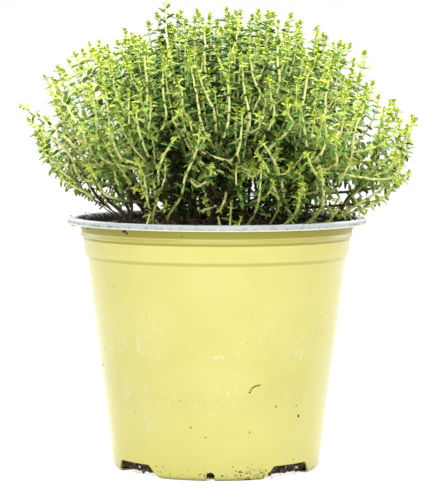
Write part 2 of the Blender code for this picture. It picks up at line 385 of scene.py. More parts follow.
def fromRim(inward, down, rounding=None):
    corner = (rimRadius - inward * mm, rimHeight - down * mm)
    return corner if rounding is None else (*corner, rounding * mm)


def outerCorners(shape):
    # From the middle of the underside, out and up the lime side, to the lip's foot
    sheet = shape["sheet"]
    roundings = {"step": 0.3, "bandFoot": 0.9, "bandTop": 0.2, "bead": 0.45, "neckFoot": 0.6,
                 "neckTop": 0.5}
    return [(0.0, 0.0, 0.0), (rimRadius - shape["foot"] * mm, 0.0, shape["footRound"] * mm),
            *(fromRim(*shape[name], rounding) for name, rounding in roundings.items()),
            fromRim(sheet, sheet, 0.2), fromRim(sheet, shape["lipDepth"], 0.0)]


def lipEdge(shape):  # the trimmed edge, a narrow rounded bead that both layers meet in
    deep = shape["lipDepth"]
    return [Vector(fromRim(*spot)) for spot in ((0.25, deep + 0.05), (-0.02, deep - 0.15),
                                                (-0.02, deep - 0.45))]


def innerCorners(shape):
    # From the lip's foot, over the flange and down the pale side, to the middle of the floor
    sheet = shape["sheet"]
    roundings = {"neckFoot": 0.6, "bandTop": 0.3, "bandFoot": 1.0, "step": 1.0}
    return [fromRim(0.06, shape["lipDepth"] - 0.55, 0.0), (rimRadius, rimHeight, shape["lipRound"] * mm),
            fromRim(shape["mouthIn"], 0.0, 0.5), fromRim(shape["neckTop"][0] + sheet, 1.6, 0.6),
            *(fromRim(shape[name][0] + sheet, shape[name][1], rounding)
              for name, rounding in roundings.items()),
            (rimRadius - (shape["foot"] + sheet) * mm, sheet * mm, 2.2 * mm), (0.0, sheet * mm, 0.0)]


def wallRadius(height):  # the straight body wall's outer radius
    lowRadius = rimRadius - potShape["foot"] * mm
    stepRadius, stepHeight = fromRim(*potShape["step"])
    return lowRadius + (stepRadius - lowRadius) * height / stepHeight


def footRadius(height):  # the outer wall's radius, with its rounded foot
    rounding = potShape["footRound"] * mm
    if height >= rounding:
        return wallRadius(height)
    return wallRadius(height) - rounding + math.sqrt(rounding ** 2 - (rounding - height) ** 2)


def spinProfile(outline, steps):
    # outline is points with the number of their material; a face between two materials gets the last one
    bm = bmesh.new()
    sideLayer = bm.verts.layers.int.new("side")
    verts = []
    for (x, z), side in outline:
        verts.append(bm.verts.new((x, 0.0, z)))
        verts[-1][sideLayer] = side
    edges = [bm.edges.new(pair) for pair in zip(verts, verts[1:])]
    bmesh.ops.spin(bm, geom=verts + edges, cent=(0, 0, 0), axis=(0, 0, 1), angle=fullTurn, steps=steps,
                   use_merge=True)
    bmesh.ops.remove_doubles(bm, verts=bm.verts, dist=0.004 * mm)
    bmesh.ops.recalc_face_normals(bm, faces=bm.faces)
    for face in bm.faces:
        sides = {vert[sideLayer] for vert in face.verts}
        face.material_index = 2 if len(sides) > 1 else sides.pop()
    bm.verts.layers.int.remove(sideLayer)
    return bm


def splitWall(points, longest):
    # Adds points along long straight stretches, so that the wall can wave and shade evenly
    fine = [points[0]]
    for point in points[1:]:
        last = fine[-1]
        parts = max(1, math.ceil((point - last).length / longest))
        fine += [last.lerp(point, (i + 1) / parts) for i in range(parts)]
    return fine


def archCutter(shape, quarter):
    # A block that is narrower and rounded at its top; quarter counts the openings round the foot
    inner = shape["inner"] * mm
    width = 2 * wallRadius(0.0) * math.sin(math.radians(shape["halfAngle"]))
    bm = bmesh.new()
    for vert in bmesh.ops.create_cube(bm, size=1.0)["verts"]:
        x, y, z = vert.co
        share = shape["topShare"] if z > 0 else 2 - shape["topShare"]
        vert.co = (x * width * share, y * (rimRadius - inner) - (rimRadius + inner) / 2,
                   z * 2 * shape["height"] * mm)
    topEdges = [e for e in bm.edges if all(v.co.z > 0 for v in e.verts)
                and abs(e.verts[0].co.x - e.verts[1].co.x) < 0.1 * mm]
    bmesh.ops.bevel(bm, geom=topEdges, offset=shape["rounding"] * mm, segments=5, profile=0.5,
                    affect="EDGES", material=-1)
    turn = Matrix.Rotation(math.radians(drain["turn"] + quarter * 90), 3, "Z")
    bmesh.ops.rotate(bm, verts=bm.verts, cent=(0, 0, 0), matrix=turn)
    return bm


def cutWith(piece, cutters):
    # Takes each cutter out of the piece and leaves plain mesh
    helpers = [addObject(f"cutter{i}", toMesh("cutter", bm)) for i, bm in enumerate(cutters)]
    for helper in helpers:
        cut = piece.modifiers.new(helper.name, "BOOLEAN")
        cut.object = helper
        cut.operation = "DIFFERENCE"
    bpy.context.view_layer.update()
    cutMesh = bpy.data.meshes.new_from_object(piece.evaluated_get(bpy.context.evaluated_depsgraph_get()))
    piece.modifiers.clear()
    piece.data = cutMesh
    for helper in helpers:
        bpy.data.objects.remove(helper)


def buildPot():
    longest = potShape["longest"] * mm
    outer = splitWall(roundedCorners(outerCorners(potShape)), longest)
    inner = splitWall(roundedCorners(innerCorners(potShape)), longest)
    outline = [(point, 0) for point in outer] + [(point, 2) for point in lipEdge(potShape)]
    outline += [(point, 1) for point in inner]
    bm = spinProfile(outline, potShape["turnSteps"])
    grown, gone = (height * mm for height in potShape["waveFade"])
    for vert in bm.verts:  # thin formed plastic is never quite round
        outward = Vector((vert.co.x, vert.co.y, 0))
        share = ramp(vert.co.z, 0.0, grown) * ramp(vert.co.z, gone, gone - grown)
        if outward.length > potShape["stiffFloor"] * mm and share > 0:
            wave = noise.noise(Vector((vert.co.x * 22, vert.co.y * 22, vert.co.z * 14)))
            vert.co += outward.normalized() * wave * potShape["wave"] * mm * share
    pot = newPiece("nursery_pot", bm, "lime_plastic", limeSheet(limeLook), paleSheet(paleLook),
                   cutEdge(paleLook), replaced="pot")
    cutWith(pot, [archCutter(shape, quarter) for shape in (drain["slot"], drain["notch"])
                  for quarter in shape["quarters"]])
    pot.data.shade_smooth()
    pot.data.set_sharp_from_angle(angle=math.radians(potShape["sharpFrom"]))


soilShape = {"edgeDown": 5.4, "mound": 3.5, "gap": 0.25, "wallIn": 1.1, "rough": 1.3, "roughSize": 5.0,
             "steps": 120, "rings": 26, "sideRough": 0.5, "sideRoughSize": 2.2, "footUp": 0.9,
             "rounding": 0.5, "footRound": 2.0, "longest": 2.5}
peatLook = {"name": "damp_peat", "colours": ["#120C08", "#241910", "#3A2A1B", "#4A3826"], "grain": 1.6,
            "rough": 0.95, "bumpDepth": 0.8}


def soilLevel(x, y):
    edge = rimRadius - (potShape["neckFoot"][0] + potShape["sheet"]) * mm
    share = min(1.0, math.hypot(x, y) / edge)
    level = rimHeight - soilShape["edgeDown"] * mm + soilShape["mound"] * mm * (1 - share ** 2)
    place = Vector((x, y, 0)) / (soilShape["roughSize"] * mm)
    lumps = noise.fractal(place, 1.0, 2.0, 4) * 0.7 + noise.noise(place * 0.35) * 0.8
    return level + lumps * soilShape["rough"] * mm * (1 - 0.5 * share ** 4)


def onSoil(spot, lift=0.0):  # the place on the soil above or below a spot
    return Vector((spot[0], spot[1], soilLevel(spot[0], spot[1]) + lift))


def buildRootBall():
    inset = (potShape["sheet"] + soilShape["gap"]) * mm
    edgeRadius = rimRadius - potShape["neckFoot"][0] * mm - inset
    topHeight = rimHeight - soilShape["edgeDown"] * mm
    floor = inset + soilShape["footUp"] * mm
    rings = soilShape["rings"]
    top = [Vector((edgeRadius * i / rings, topHeight)) for i in range(rings + 1)]
    wallIn = soilShape["wallIn"]
    side = roundedCorners([
        (edgeRadius, topHeight, 0.0),
        *(fromRim(potShape[name][0] + wallIn, potShape[name][1], soilShape["rounding"])
          for name in ("bandTop", "bandFoot", "step")),
        (rimRadius - (potShape["foot"] + wallIn) * mm, floor, soilShape["footRound"] * mm),
        (0.0, floor, 0.0)])
    side = splitWall(side[1:], soilShape["longest"] * mm)
    bm = spinProfile([(point, 0) for point in top + side], soilShape["steps"])
    for vert in bm.verts:
        if vert.co.z > topHeight - 0.1 * mm:
            vert.co = onSoil(vert.co)
            continue
        outward = Vector((vert.co.x, vert.co.y, 0))
        rough = abs(noise.fractal(vert.co / (soilShape["sideRoughSize"] * mm), 1.0, 2.0, 3))
        vert.co -= outward.normalized() * rough * soilShape["sideRough"] * mm
    newPiece("peat_root_ball", bm, "peat_soil", looseMatter(**peatLook), replaced="root_ball")


crumbs = {  # what lies loose on the soil and shows behind the slots
    "peat_crumbs": {"count": 620, "inSlots": 20, "size": (0.5, 1.7), "flat": 0.75, "spread": 57,
                    "sink": 0.3,
                    "look": {"name": "dry_peat_crumb", "colours": ["#1A120C", "#3B2A1B", "#5A4430"],
                             "grain": 1, "rough": 0.95, "bumpDepth": 0.4}},
    "perlite_grains": {"count": 46, "inSlots": 5, "size": (0.5, 1.25), "flat": 0.85, "spread": 57,
                       "sink": 0.2,
                       "look": {"name": "expanded_perlite", "colours": ["#C9C4B8", "#E9E6DE", "#F4F2EC"],
                                "grain": 0.7, "rough": 0.85, "bumpDepth": 0.3}},
    "bark_chips": {"count": 90, "inSlots": 10, "size": (0.8, 2.2), "flat": 0.3, "spread": 56, "sink": 0.1,
                   "look": {"name": "shredded_bark", "colours": ["#3A2616", "#6E4C2E", "#94714A"],
                            "grain": 0.8, "rough": 0.85, "bumpDepth": 0.3}},
}
specks = {  # dried peat on the outside of the pot
    "onWall": [  # angle from the front, height, size
        (-74.9, 45.9, 0.55), (-68.3, 53.9, 0.3), (-52.6, 81.4, 0.25), (14.2, 59.3, 0.25),
        (46.3, 26.6, 0.75), (43.9, 31.2, 0.4), (31, 31.6, 0.35), (61.6, 69.8, 0.25), (-12.9, 23.3, 0.4),
        (-5.5, 19.2, 0.4), (17.2, 21.2, 0.3), (-57.4, 28.2, 0.3), (-45.1, 27.7, 0.25),
        (-17.9, 34.5, 0.25), (108, 63, 0.5), (143, 35, 0.6), (161, 52, 0.35), (-131, 41, 0.6),
        (-112, 24, 0.45), (-160, 71, 0.3), (175, 20, 0.5), (3.2, 2.6, 0.4), (12.9, 4.2, 0.45),
        (10.4, 2.4, 0.3), (16.4, 1, 0.75), (17.6, 1.6, 0.6), (18.6, 0.8, 0.5), (23.5, 1.2, 0.45),
        (25.2, 3.4, 0.4), (26.2, 1.8, 0.5), (-9, 3, 0.35)],
    "underLip": [  # angle, radius, height, size
        (-37.6, 62.9, 105.9, 1.1), (-36.8, 62.4, 105, 0.6), (-60.4, 62.8, 105.9, 0.45),
        (-77, 63.2, 106, 0.35), (-84, 63, 105.8, 0.4), (33, 62.9, 106, 0.3), (128, 62.9, 105.8, 0.5),
        (-150, 62.9, 105.8, 0.45)],
    "scrape": [(16.4, 38.3), (17, 39.3), (17.7, 40.1), (18.3, 40.6), (19.2, 40.8), (20.2, 41),
               (21.3, 41.2)],
    "scrapeSize": 0.44, "clumpFoot": 0.25, "clumpHeight": 2.4, "clumpSize": (0.09, 0.32),
    "onFlange": 46,  # crumbs left on the flange and hanging at its edge
    "footClumps": [  # angle, its spread, count
        (-24, 9, 34), (-5.4, 2.2, 46), (19, 6, 120), (25, 2.5, 40), (60, 14, 24),
        (150, 25, 60), (-110, 20, 50)],
    "look": {"name": "dried_peat_speck", "colours": ["#24160B", "#4A3018", "#74502A"], "grain": 0.5,
             "rough": 0.9, "bumpDepth": 0.1},
}
roots = {"perSlot": 34, "thick": (0.16, 0.42), "length": (3, 9),
         "look": {"name": "fine_thyme_roots", "colours": ["#35281A", "#664C34", "#BCA078"], "grain": 1.6,
                  "rough": 0.8, "bumpDepth": 0.1}}
twigs = {"count": 46, "length": (4, 13), "thick": (0.35, 0.9), "spread": 54, "edge": 56,
         "named": [((1.2, -52, 0.5), (3.4, -53.5, 3.5), 0.5), ((17, -50, 0.5), (21.5, -54, 4.5), 0.7),
                   ((-22, -48, 0.4), (-31, -46, 2.6), 0.8), ((-38, -41, 0.4), (-30, -46, 1.2), 0.9),
                   ((24, -47, 0.4), (31, -46.5, 2), 0.8), ((-12, -53, 0.3), (-3, -54, 0.9), 0.7)],
         "look": {"name": "dry_thyme_twig", "colours": ["#4A3524", "#8C6C4B", "#C9AE86"], "grain": 2.5,
                  "rough": 0.8, "bumpDepth": 0.15}}


def crumbTemplates(draw, kinds=5):
    meshes = []
    for kind in range(kinds):
        bm = bmesh.new()
        bmesh.ops.create_icosphere(bm, subdivisions=1, radius=1.0)
        for vert in bm.verts:
            vert.co *= 1 + 0.35 * noise.noise(vert.co * 1.7 + Vector((kind * 7.3, 0, 0)))
            vert.co *= draw.uniform(0.88, 1.1)
        meshes.append(toMesh(f"crumb{kind}", bm))
    return meshes


def addCopy(bm, mesh, matrix):
    mesh.transform(matrix)
    bm.from_mesh(mesh)
    mesh.transform(matrix.inverted())


def addCrumb(bm, templates, draw, place, *size):
    addCopy(bm, draw.choice(templates), place @ Matrix.Diagonal((*size, 1)))


def wallFrame(angle, height, inward=0.0):
    # A matrix whose X runs round the wall, Y up it and Z out of it
    outward = around(angle, 1.0, 0.0)
    spot = around(angle, footRadius(height) - inward, height)
    return Matrix.Translation(spot) @ Matrix((up.cross(outward), up, outward)).transposed().to_4x4()


def slotSpot(draw, number):
    # A place on the root ball behind one of the pot's drainage slots
    slot = drain["slot"]
    turned = drain["turn"] + slot["quarters"][number % len(slot["quarters"])] * 90
    angle = math.radians(turned + slot["halfAngle"] * 1.02 * draw.uniform(-1, 1))
    return angle, draw.uniform(*slot["seen"]) * mm


def strewn(draw, spread):  # a place on the soil, as likely anywhere within the spread
    return around(draw.uniform(0, fullTurn), spread * mm * math.sqrt(draw.random()), 0)


def scatterCrumbs(templates):
    draw = random.Random(11)
    slots = len(drain["slot"]["quarters"])
    for name, kind in crumbs.items():
        bm = bmesh.new()
        for i in range(kind["count"]):
            spot = strewn(draw, kind["spread"])
            size = draw.uniform(*kind["size"]) * mm * draw.choice((0.7, 1.0, 1.0))
            spot = onSoil(spot, size * kind["flat"] * (0.7 - kind["sink"]))
            turn = Matrix.Rotation(draw.uniform(0, fullTurn), 4, "Z")
            turn = turn @ Matrix.Rotation(draw.uniform(-0.5, 0.5), 4, "X")
            addCrumb(bm, templates, draw, Matrix.Translation(spot) @ turn,
                     size * draw.uniform(0.9, 1.7), size, size * kind["flat"])
        for i in range(kind["inSlots"] * slots):
            angle, height = slotSpot(draw, i)
            size = draw.uniform(*kind["size"]) * mm * 0.6
            turn = Matrix.Rotation(draw.uniform(0, fullTurn), 4, "Z")
            addCrumb(bm, templates, draw, wallFrame(angle, height, 1.4 * mm) @ turn,
                     size * draw.uniform(0.9, 1.7), size, size * 0.6)
        newPiece(name, bm, "peat_soil", looseMatter(**kind["look"]))


def buildSpecks(templates):
    draw = random.Random(23)
    bm = bmesh.new()
    places = [(angle, height, specks["scrapeSize"]) for angle, height in specks["scrape"]]
    places = specks["onWall"] + places
    for angle, spread, count in specks["footClumps"]:
        for i in range(count):
            height = specks["clumpFoot"] + abs(draw.gauss(0, specks["clumpHeight"]))
            places.append((draw.gauss(angle, spread), height, draw.uniform(*specks["clumpSize"])))
    for angle, height, size in places:
        wide, tall = size * draw.uniform(0.8, 1.5), size * draw.uniform(0.6, 1.0)
        turn = Matrix.Rotation(draw.uniform(0, math.pi), 4, "Z")
        place = wallFrame(math.radians(angle), height * mm, -0.03 * mm) @ turn @ Matrix.Scale(mm, 4)
        addCrumb(bm, templates, draw, place, wide, tall, size * 0.28)
    for angle, radius, height, size in specks["underLip"]:
        spot = around(math.radians(angle), radius * mm, height * mm)
        size *= mm
        addCrumb(bm, templates, draw, Matrix.Translation(spot),
                 size, size * 0.8, size * draw.uniform(0.6, 0.9))
    for i in range(specks["onFlange"]):
        angle = draw.uniform(0, fullTurn)
        size = draw.uniform(0.15, 0.5) * mm
        spot = around(angle, rimRadius - draw.uniform(0.6, 3.6) * mm, rimHeight + 0.1 * mm)
        addCrumb(bm, templates, draw, Matrix.Translation(spot),
                 size * draw.uniform(0.8, 1.6), size, size * 0.5)
    newPiece("dried_peat_specks", bm, "peat_soil", looseMatter(**specks["look"]))


def buildRoots():
    # Fine roots that have grown round the inside of the pot, seen where the slots are open
    draw = random.Random(37)
    rootTube = tubeTemplate("rootTube", 5, 9)
    bm = bmesh.new()
    for i in range(roots["perSlot"] * len(drain["slot"]["quarters"])):
        angle, height = slotSpot(draw, i)
        length = draw.uniform(*roots["length"]) * mm
        lean = draw.gauss(0, 0.7)
        depth = draw.uniform(0.9, 1.5) * mm
        ends = []
        for share in (-0.5, 0.5):
            endHeight = min(max(height + length * math.sin(lean) * share, 2.2 * mm), 6.5 * mm)
            endAngle = angle + length * math.cos(lean) / wallRadius(0) * share
            ends.append(wallFrame(endAngle, endHeight, depth).translation)
        along = (ends[1] - ends[0]).normalized()
        shake = Vector((draw.gauss(0, 0.2), draw.gauss(0, 0.2), draw.gauss(0, 0.6)))
        path = bent(ends[0], (along + shake).normalized(), ends[1], (along - shake).normalized(), 8)
        thick = draw.uniform(*roots["thick"]) / 2 * mm
        addTube(bm, rootTube, path, (thick, thick * 0.6), (0.0, 1.0))
    newPiece("roots_behind_the_slots", bm, "peat_soil", looseMatter(**roots["look"]))


def buildTwigs():
    draw = random.Random(41)
    twigTube = tubeTemplate("twigTube", 6, 7)
    bm = bmesh.new()
    lines = []
    for start, end, thick in twigs["named"]:
        ends = [onSoil(Vector((x, y)) * mm, lift * mm) for x, y, lift in (start, end)]
        lines.append((*ends, thick))
    edge = twigs["edge"] * mm
    for i in range(twigs["count"]):
        middle = strewn(draw, twigs["spread"])
        reach = around(draw.uniform(0, fullTurn), draw.uniform(*twigs["length"]) / 2 * mm, 0)
        ends = [spot * min(1.0, edge / spot.length) for spot in (middle - reach, middle + reach)]
        ends = [onSoil(spot, draw.uniform(0.3, 1.2) * mm) for spot in ends]
        lines.append((*ends, draw.uniform(*twigs["thick"])))
    for first, last, thick in lines:
        along = (last - first).normalized()
        bend = Vector((draw.gauss(0, 0.25), draw.gauss(0, 0.25), draw.gauss(0, 0.12)))
        path = bent(first, (along + bend).normalized(), last, (along - bend).normalized(), 6)
        addTube(bm, twigTube, path, (thick / 2 * mm, thick * 0.35 * mm), (0.0, 1.0), 0.05 * mm, draw)
    newPiece("dry_twigs_on_the_soil", bm, "thyme_bark", looseMatter(**twigs["look"]))


plant = {
    "seed": 5,
    "shoots": 700,
    "domeCentreUp": 15.8,     # the dome's middle above the rim
    "lowestTip": 112.0,       # degrees from the top
    "reach": [  # how far out the growing points stand, by degrees from the top: left and right side
        (0, 72.5, 72.5), (15, 73.5, 75), (25, 71.5, 77.5), (35, 73.5, 80), (42, 77.5, 80.5), (48, 83, 83),
        (58, 85.5, 79.5), (68, 86, 83.5), (72, 86, 86.5), (76, 80, 86), (82, 76, 84.5), (88, 68.5, 81),
        (92, 60, 77), (98, 53, 72), (104, 46, 63), (112, 40, 48)],
    # painted light: the two shares below make the leaves at the sides and on the low shoots in front paler
    "sideLightShare": 0.2,          # how much paler the leaves are at the sides
    "lowLightShare": 0.12,          # and on the low shoots in front
    "lowTip": 160.0,          # the highest tip of those
    "skirt": 84.0,            # degrees from the top, below which the leaves are smaller
    "sideGaps": 0.42,
    "faceUp": 0.94,           # how far the blades turn from their stem to face up
    "leafStep": 3.2,          # between pairs of leaves
    "leafLength": (4.2, 5.5),
    "leafAngles": (20, 55, 4.6, 12, 40),  # at first, then how much wider and at what age, twice
    "oldTone": 0.06,
    "middleTone": (0.38, 22.0),  # how much paler than an old leaf, and the age when that has faded
    "youngTone": (0.50, 3.7),
    "toneScatter": 0.08,
    "tuftChance": 0.8,        # of small young leaves beside a grown one
    "shedChance": 0.04,
    "shedFrom": 60.0,         # leaves further down than this fall one by one
    "shedRise": 0.014,
    "shootThick": 1.1,
    "mainStem": (1.9, 0.9),   # thickness at the foot and at the top
    "fork": (1.2, 0.7),
    "forks": 4,
}
shootLines = {  # millimetres: shoots that stand out, each from its lower part to its tip
    "left side": [
        ((-45, -30, 119), (-49, -34, 123), (-51, -44, 129), (-53, -54, 134)),
        ((-48, -20, 119), (-55, -30, 134), (-65, -28, 145), (-74, -18, 151), (-85, -4, 158)),
        ((-36, -52, 135), (-40, -55, 137), (-42, -61, 142), (-45, -69, 150)),
        ((-29, -46, 125), (-31, -62, 132), (-33, -71, 137)),
        ((-29, -57, 139), (-32, -68, 149), (-33, -73, 158)),
        ((-35, -54, 142), (-36, -65, 152), (-36, -68, 164)),
        ((-50, -43, 144), (-50, -54, 153), (-52, -55, 166)),
        ((-49, -36, 132), (-53, -41, 140), (-58, -47, 150), (-64, -39, 159), (-70, -30, 164)),
        ((-47, -42, 135), (-49, -51, 141), (-51, -61, 146)),
        ((-58, -12, 126), (-62, -24, 136), (-70, -24, 144), (-75, -31, 149)),
        ((-42, -50, 144), (-45, -57, 156), (-46, -59, 166)),
        ((-58, -30, 143), (-63, -38, 153), (-69, -40, 159)),
        ((-60, -25, 152), (-66, -18, 161), (-69, -26, 168)),
    ],
    "right side": [
        ((44, -38, 115), (44, -53, 125), (42, -69, 134)),
        ((44, -42, 123), (39, -62, 133), (36, -74, 140)),
        ((48, -37, 122), (53, -44, 130), (56, -47, 136), (57, -52, 148), (60, -50, 155), (62, -45, 164)),
        ((42, -52, 137), (45, -56, 144), (44, -63, 152), (42, -70, 155)),
        ((37, -55, 141), (35, -65, 153), (33, -72, 160)),
        ((51, -43, 145), (53, -49, 157), (51, -57, 164)),
        ((67, -8, 122), (73, -14, 128), (77, -30, 137)),
        ((69, 4, 116), (76, 2, 122), (84, 0, 129)),
        ((80, 6, 135), (83, 5, 139), (84, 3, 145), (85, 2, 153)),
        ((77, -4, 141), (78, -8, 150), (75, -20, 160)),
        ((33, -38, 113), (34, -53, 118), (34, -65, 124)),
        ((49, -46, 133), (49, -56, 140), (48, -67, 147)),
        ((67, -9, 139), (69, -29, 148), (70, -40, 157)),
    ],
    "low front": [
        ((-27, -42, 109), (-24, -49, 123), (-24, -61, 132), (-20, -71, 141), (-16, -78, 146)),
        ((-21, -44, 110), (-15, -50, 120), (-13, -63, 129), (-8, -74, 141), (-7, -81, 150)),
        ((-11, -57, 134), (-7, -69, 141), (-4, -81, 147)),
        ((14, -42, 110), (17, -52, 117), (18, -68, 130), (18, -77, 135)),
        ((26, -42, 116), (23, -57, 126), (20, -70, 134), (16, -79, 139)),
        ((28, -42, 119), (25, -60, 132), (21, -71, 140), (18, -79, 144)),
        ((1, -58, 136), (6, -64, 136), (9, -69, 141), (10, -76, 151), (10, -80, 157)),
        ((-28, -42, 114), (-30, -54, 128), (-33, -71, 137)),
        ((33, -40, 113), (35, -51, 121), (35, -68, 127)),
        ((-11, -54, 128), (-8, -58, 125), (-3, -69, 129), (-2, -78, 135)),
    ],
    "high": [
        ((-29, -51, 167), (-30, -51, 176), (-30, -47, 183)),
        ((-21, -66, 152), (-22, -66, 163), (-22, -65, 175)),
        ((-13, -66, 155), (-14, -68, 162), (-16, -71, 169)),
        ((-6, -69, 150), (-8, -70, 161), (-11, -67, 176)),
        ((-1, -67, 155), (-5, -68, 164), (-8, -70, 173)),
        ((5, -60, 164), (3, -63, 171), (0, -65, 179)),
        ((4, -70, 149), (5, -72, 159), (4, -72, 170)),
        ((13, -69, 149), (11, -67, 165), (10, -66, 177)),
        ((17, -61, 160), (15, -63, 169), (13, -63, 180)),
        ((23, -65, 153), (22, -67, 162), (21, -69, 170)),
        ((25, -55, 165), (25, -55, 175), (25, -45, 187)),
        ((30, -63, 149), (29, -69, 155), (28, -73, 161)),
        ((16, -68, 149), (17, -74, 152), (17, -80, 156)),
        ((-17, -67, 151), (-16, -74, 154), (-15, -79, 157)),
        ((-28, -64, 149), (-27, -69, 156), (-27, -73, 162)),
        ((-33, -61, 150), (-34, -67, 155), (-34, -72, 159)),
        ((-20, -24, 177), (-22, -12, 190), (-22, -2, 202)),
        ((-5, -50, 173), (-5, -44, 184), (-6, -39, 191)),
        ((6, -42, 177), (8, -38, 186), (9, -34, 193)),
        ((34, -59, 152), (36, -59, 163), (38, -57, 175)),
        ((44, -53, 152), (45, -53, 163), (47, -53, 172)),
        ((-41, -48, 161), (-43, -49, 169), (-44, -50, 177)),
    ],
}
outlineTips = [  # millimetres: across and up, for the growing points that make the outline
    (-30, 193), (-37, 188), (-43, 185), (-51, 185), (-59, 181), (-65, 177), (-74, 170), (-9, 199), (4, 199),
    (15, 196), (32, 197), (36, 194), (43, 191), (47, 187), (53, 184), (58, 184), (64, 181), (67, 168),
    (85, 152), (84, 142), (84, 129), (-79, 144), (-76, 136), (-3, 197), (10, 198), (23, 197), (-16, 198),
    (-26, 197), (-40, 190), (-55, 184), (-62, 180), (-69, 174),
]
woodLines = [  # old stems in plain sight, and how thick they are at the foot
    (((-37, -14, 105), (-40, -12, 111), (-45, -12, 115), (-50, -14, 121)), 2.1),
    (((-36, -20, 105), (-38, -20, 114), (-42, -24, 120), (-44, -36, 127)), 1.6),
    (((11, -44, 105), (10, -47, 123), (9, -57, 132), (5, -64, 137)), 1.8),
    (((50, -8, 105), (56, -6, 117), (61, -6, 122), (64, -13, 128)), 1.5),
    (((-37, -24, 105), (-36, -26, 114), (-37, -30, 122), (-34, -48, 131)), 1.3),
    (((-43, -12, 111), (-49, -10, 115), (-55, -8, 118), (-60, -7, 123), (-63, -6, 129)), 0.7),
    (((-40, -16, 108), (-49, -14, 114), (-53, -14, 117), (-60, -12, 121)), 0.6),
    (((-33, -30, 106), (-28, -40, 118), (-23, -56, 124)), 0.7),
]
leafLook = {
    "ages": [(0.0, "#0A1403"), (0.1, "#142606"), (0.22, "#335A14"), (0.36, "#689640"), (0.55, "#ACC85A"),
             (0.75, "#BED64A"), (1.0, "#D6E24E")],
    # the rib colours are painted highlights on midrib and margin, and the underside colour is painted shade
    "ribHighlights": [(0.0, "#5E8444"), (0.3, "#B0CA80"), (0.6, "#D8E08C"), (1.0, "#E8EC84")],
    "undersideShade": "#3F5A2A", "undersideShadeShare": 0.4, "ribHighlightShare": 0.34, "edgeHighlightShare": 0.38, "rough": 0.36,
    "gloss": 0.04,
}
stemLook = {
    "ages": [(0.0, "#241C12"), (0.2, "#64522E"), (0.4, "#CCC272"), (0.6, "#FBF7A6"), (0.85, "#F6F8A2"),
             (1.0, "#DEE66A")],
    "tones": [(0.0, 1.0), (4.0, 0.86), (12.0, 0.74), (22.0, 0.60), (32.0, 0.36), (46.0, 0.10)],
    "blush": "#F0C8A8", "blushSize": 4.0, "blushShare": 0.15, "rough": 0.5, "gloss": 0.1,
}
barkLook = {"ages": [(0.0, "#1D1610"), (0.35, "#3A2D21"), (0.7, "#65523C"), (1.0, "#957F60")],
            "flake": 1.2, "flakeShare": 0.35}


class Template:
    # A small mesh that is copied many times, with its map and places kept apart
    def __init__(self, name, bm):
        self.mesh = toMesh(name, bm)
        self.mesh.shade_smooth()
        self.map = np.empty(len(self.mesh.loops) * 2, np.float32)
        self.mesh.uv_layers["OFBake"].uv.foreach_get("vector", self.map)
        self.map = self.map.reshape(-1, 2)
        self.places = np.array([vert.co for vert in self.mesh.vertices])

    def setMap(self, values):
        self.mesh.uv_layers["OFBake"].uv.foreach_set("vector", values.astype(np.float32).ravel())


def bladeTemplate(name, rings, width, fold, rise, droop, blunt, thick=0.05):
    # One unit-long leaf: a four-sided spindle flattened to a blade, its foot at the origin, running
    # along +X with its upper side to +Z, rising at its foot and drooping at its tip
    bm = bmesh.new()
    bmesh.ops.create_uvsphere(bm, u_segments=4, v_segments=rings, radius=1.0)
    bladeMap = bm.loops.layers.uv.new("OFBake")
    foot, bend = math.radians(rise), math.radians(droop - rise)
    shapes = {}
    for vert in bm.verts:
        x, y, z = vert.co
        ring = math.hypot(x, y)
        along = (1 - z) / 2
        side, top = (round(x / ring), round(y / ring)) if ring > 1e-4 else (0, 0)
        shapes[vert] = (along, side, top)
        swell = math.sin(math.pi * along ** blunt) ** 0.6 if 0 < along < 1 else 0.0
        angle = foot + bend * along
        path = Vector((math.sin(angle) - math.sin(foot), 0, math.cos(foot) - math.cos(angle))) / bend
        normal = Vector((-math.sin(angle), 0, math.cos(angle)))
        lift = fold * abs(side) * swell * width / 2 + top * thick * swell
        vert.co = path + normal * lift + Vector((0, side * swell * width / 2, 0))
    for face in bm.faces:
        start = 0.52 if any(shapes[vert][2] < 0 for vert in face.verts) else 0.03  # beneath, or above
        for loop in face.loops:
            along, side, top = shapes[loop.vert]
            loop[bladeMap].uv = (0.5 * side, start + 0.45 * along)
    for edge in bm.edges:
        edge.smooth = not all(abs(shapes[vert][1]) == 1 or shapes[vert][0] in (0, 1) for vert in edge.verts)
    bmesh.ops.recalc_face_normals(bm, faces=bm.faces)
    return Template(name, bm)


def tubeTemplate(name, sides, rings):
    # A unit tube along +Z, closed at both ends; u on its map runs along it and v round it
    bm = bmesh.new()
    bmesh.ops.create_cone(bm, segments=sides, radius1=1.0, radius2=1.0, depth=1.0, cap_ends=True,
                          matrix=Matrix.Translation((0, 0, 0.5)))
    lengthways = [e for e in bm.edges if abs(e.verts[0].co.z - e.verts[1].co.z) > 0.5]
    bmesh.ops.subdivide_edges(bm, edges=lengthways, cuts=rings - 2, use_grid_fill=False)
    tubeMap = bm.loops.layers.uv.new("OFBake")
    for face in bm.faces:
        turns = [math.atan2(loop.vert.co.y, loop.vert.co.x) / fullTurn % 1.0 for loop in face.loops]
        seam = max(turns) - min(turns) > 0.5
        for loop, turn in zip(face.loops, turns):
            loop[tubeMap].uv = (loop.vert.co.z, turn + 1 if seam and turn < 0.5 else turn)
    return Template(name, bm)


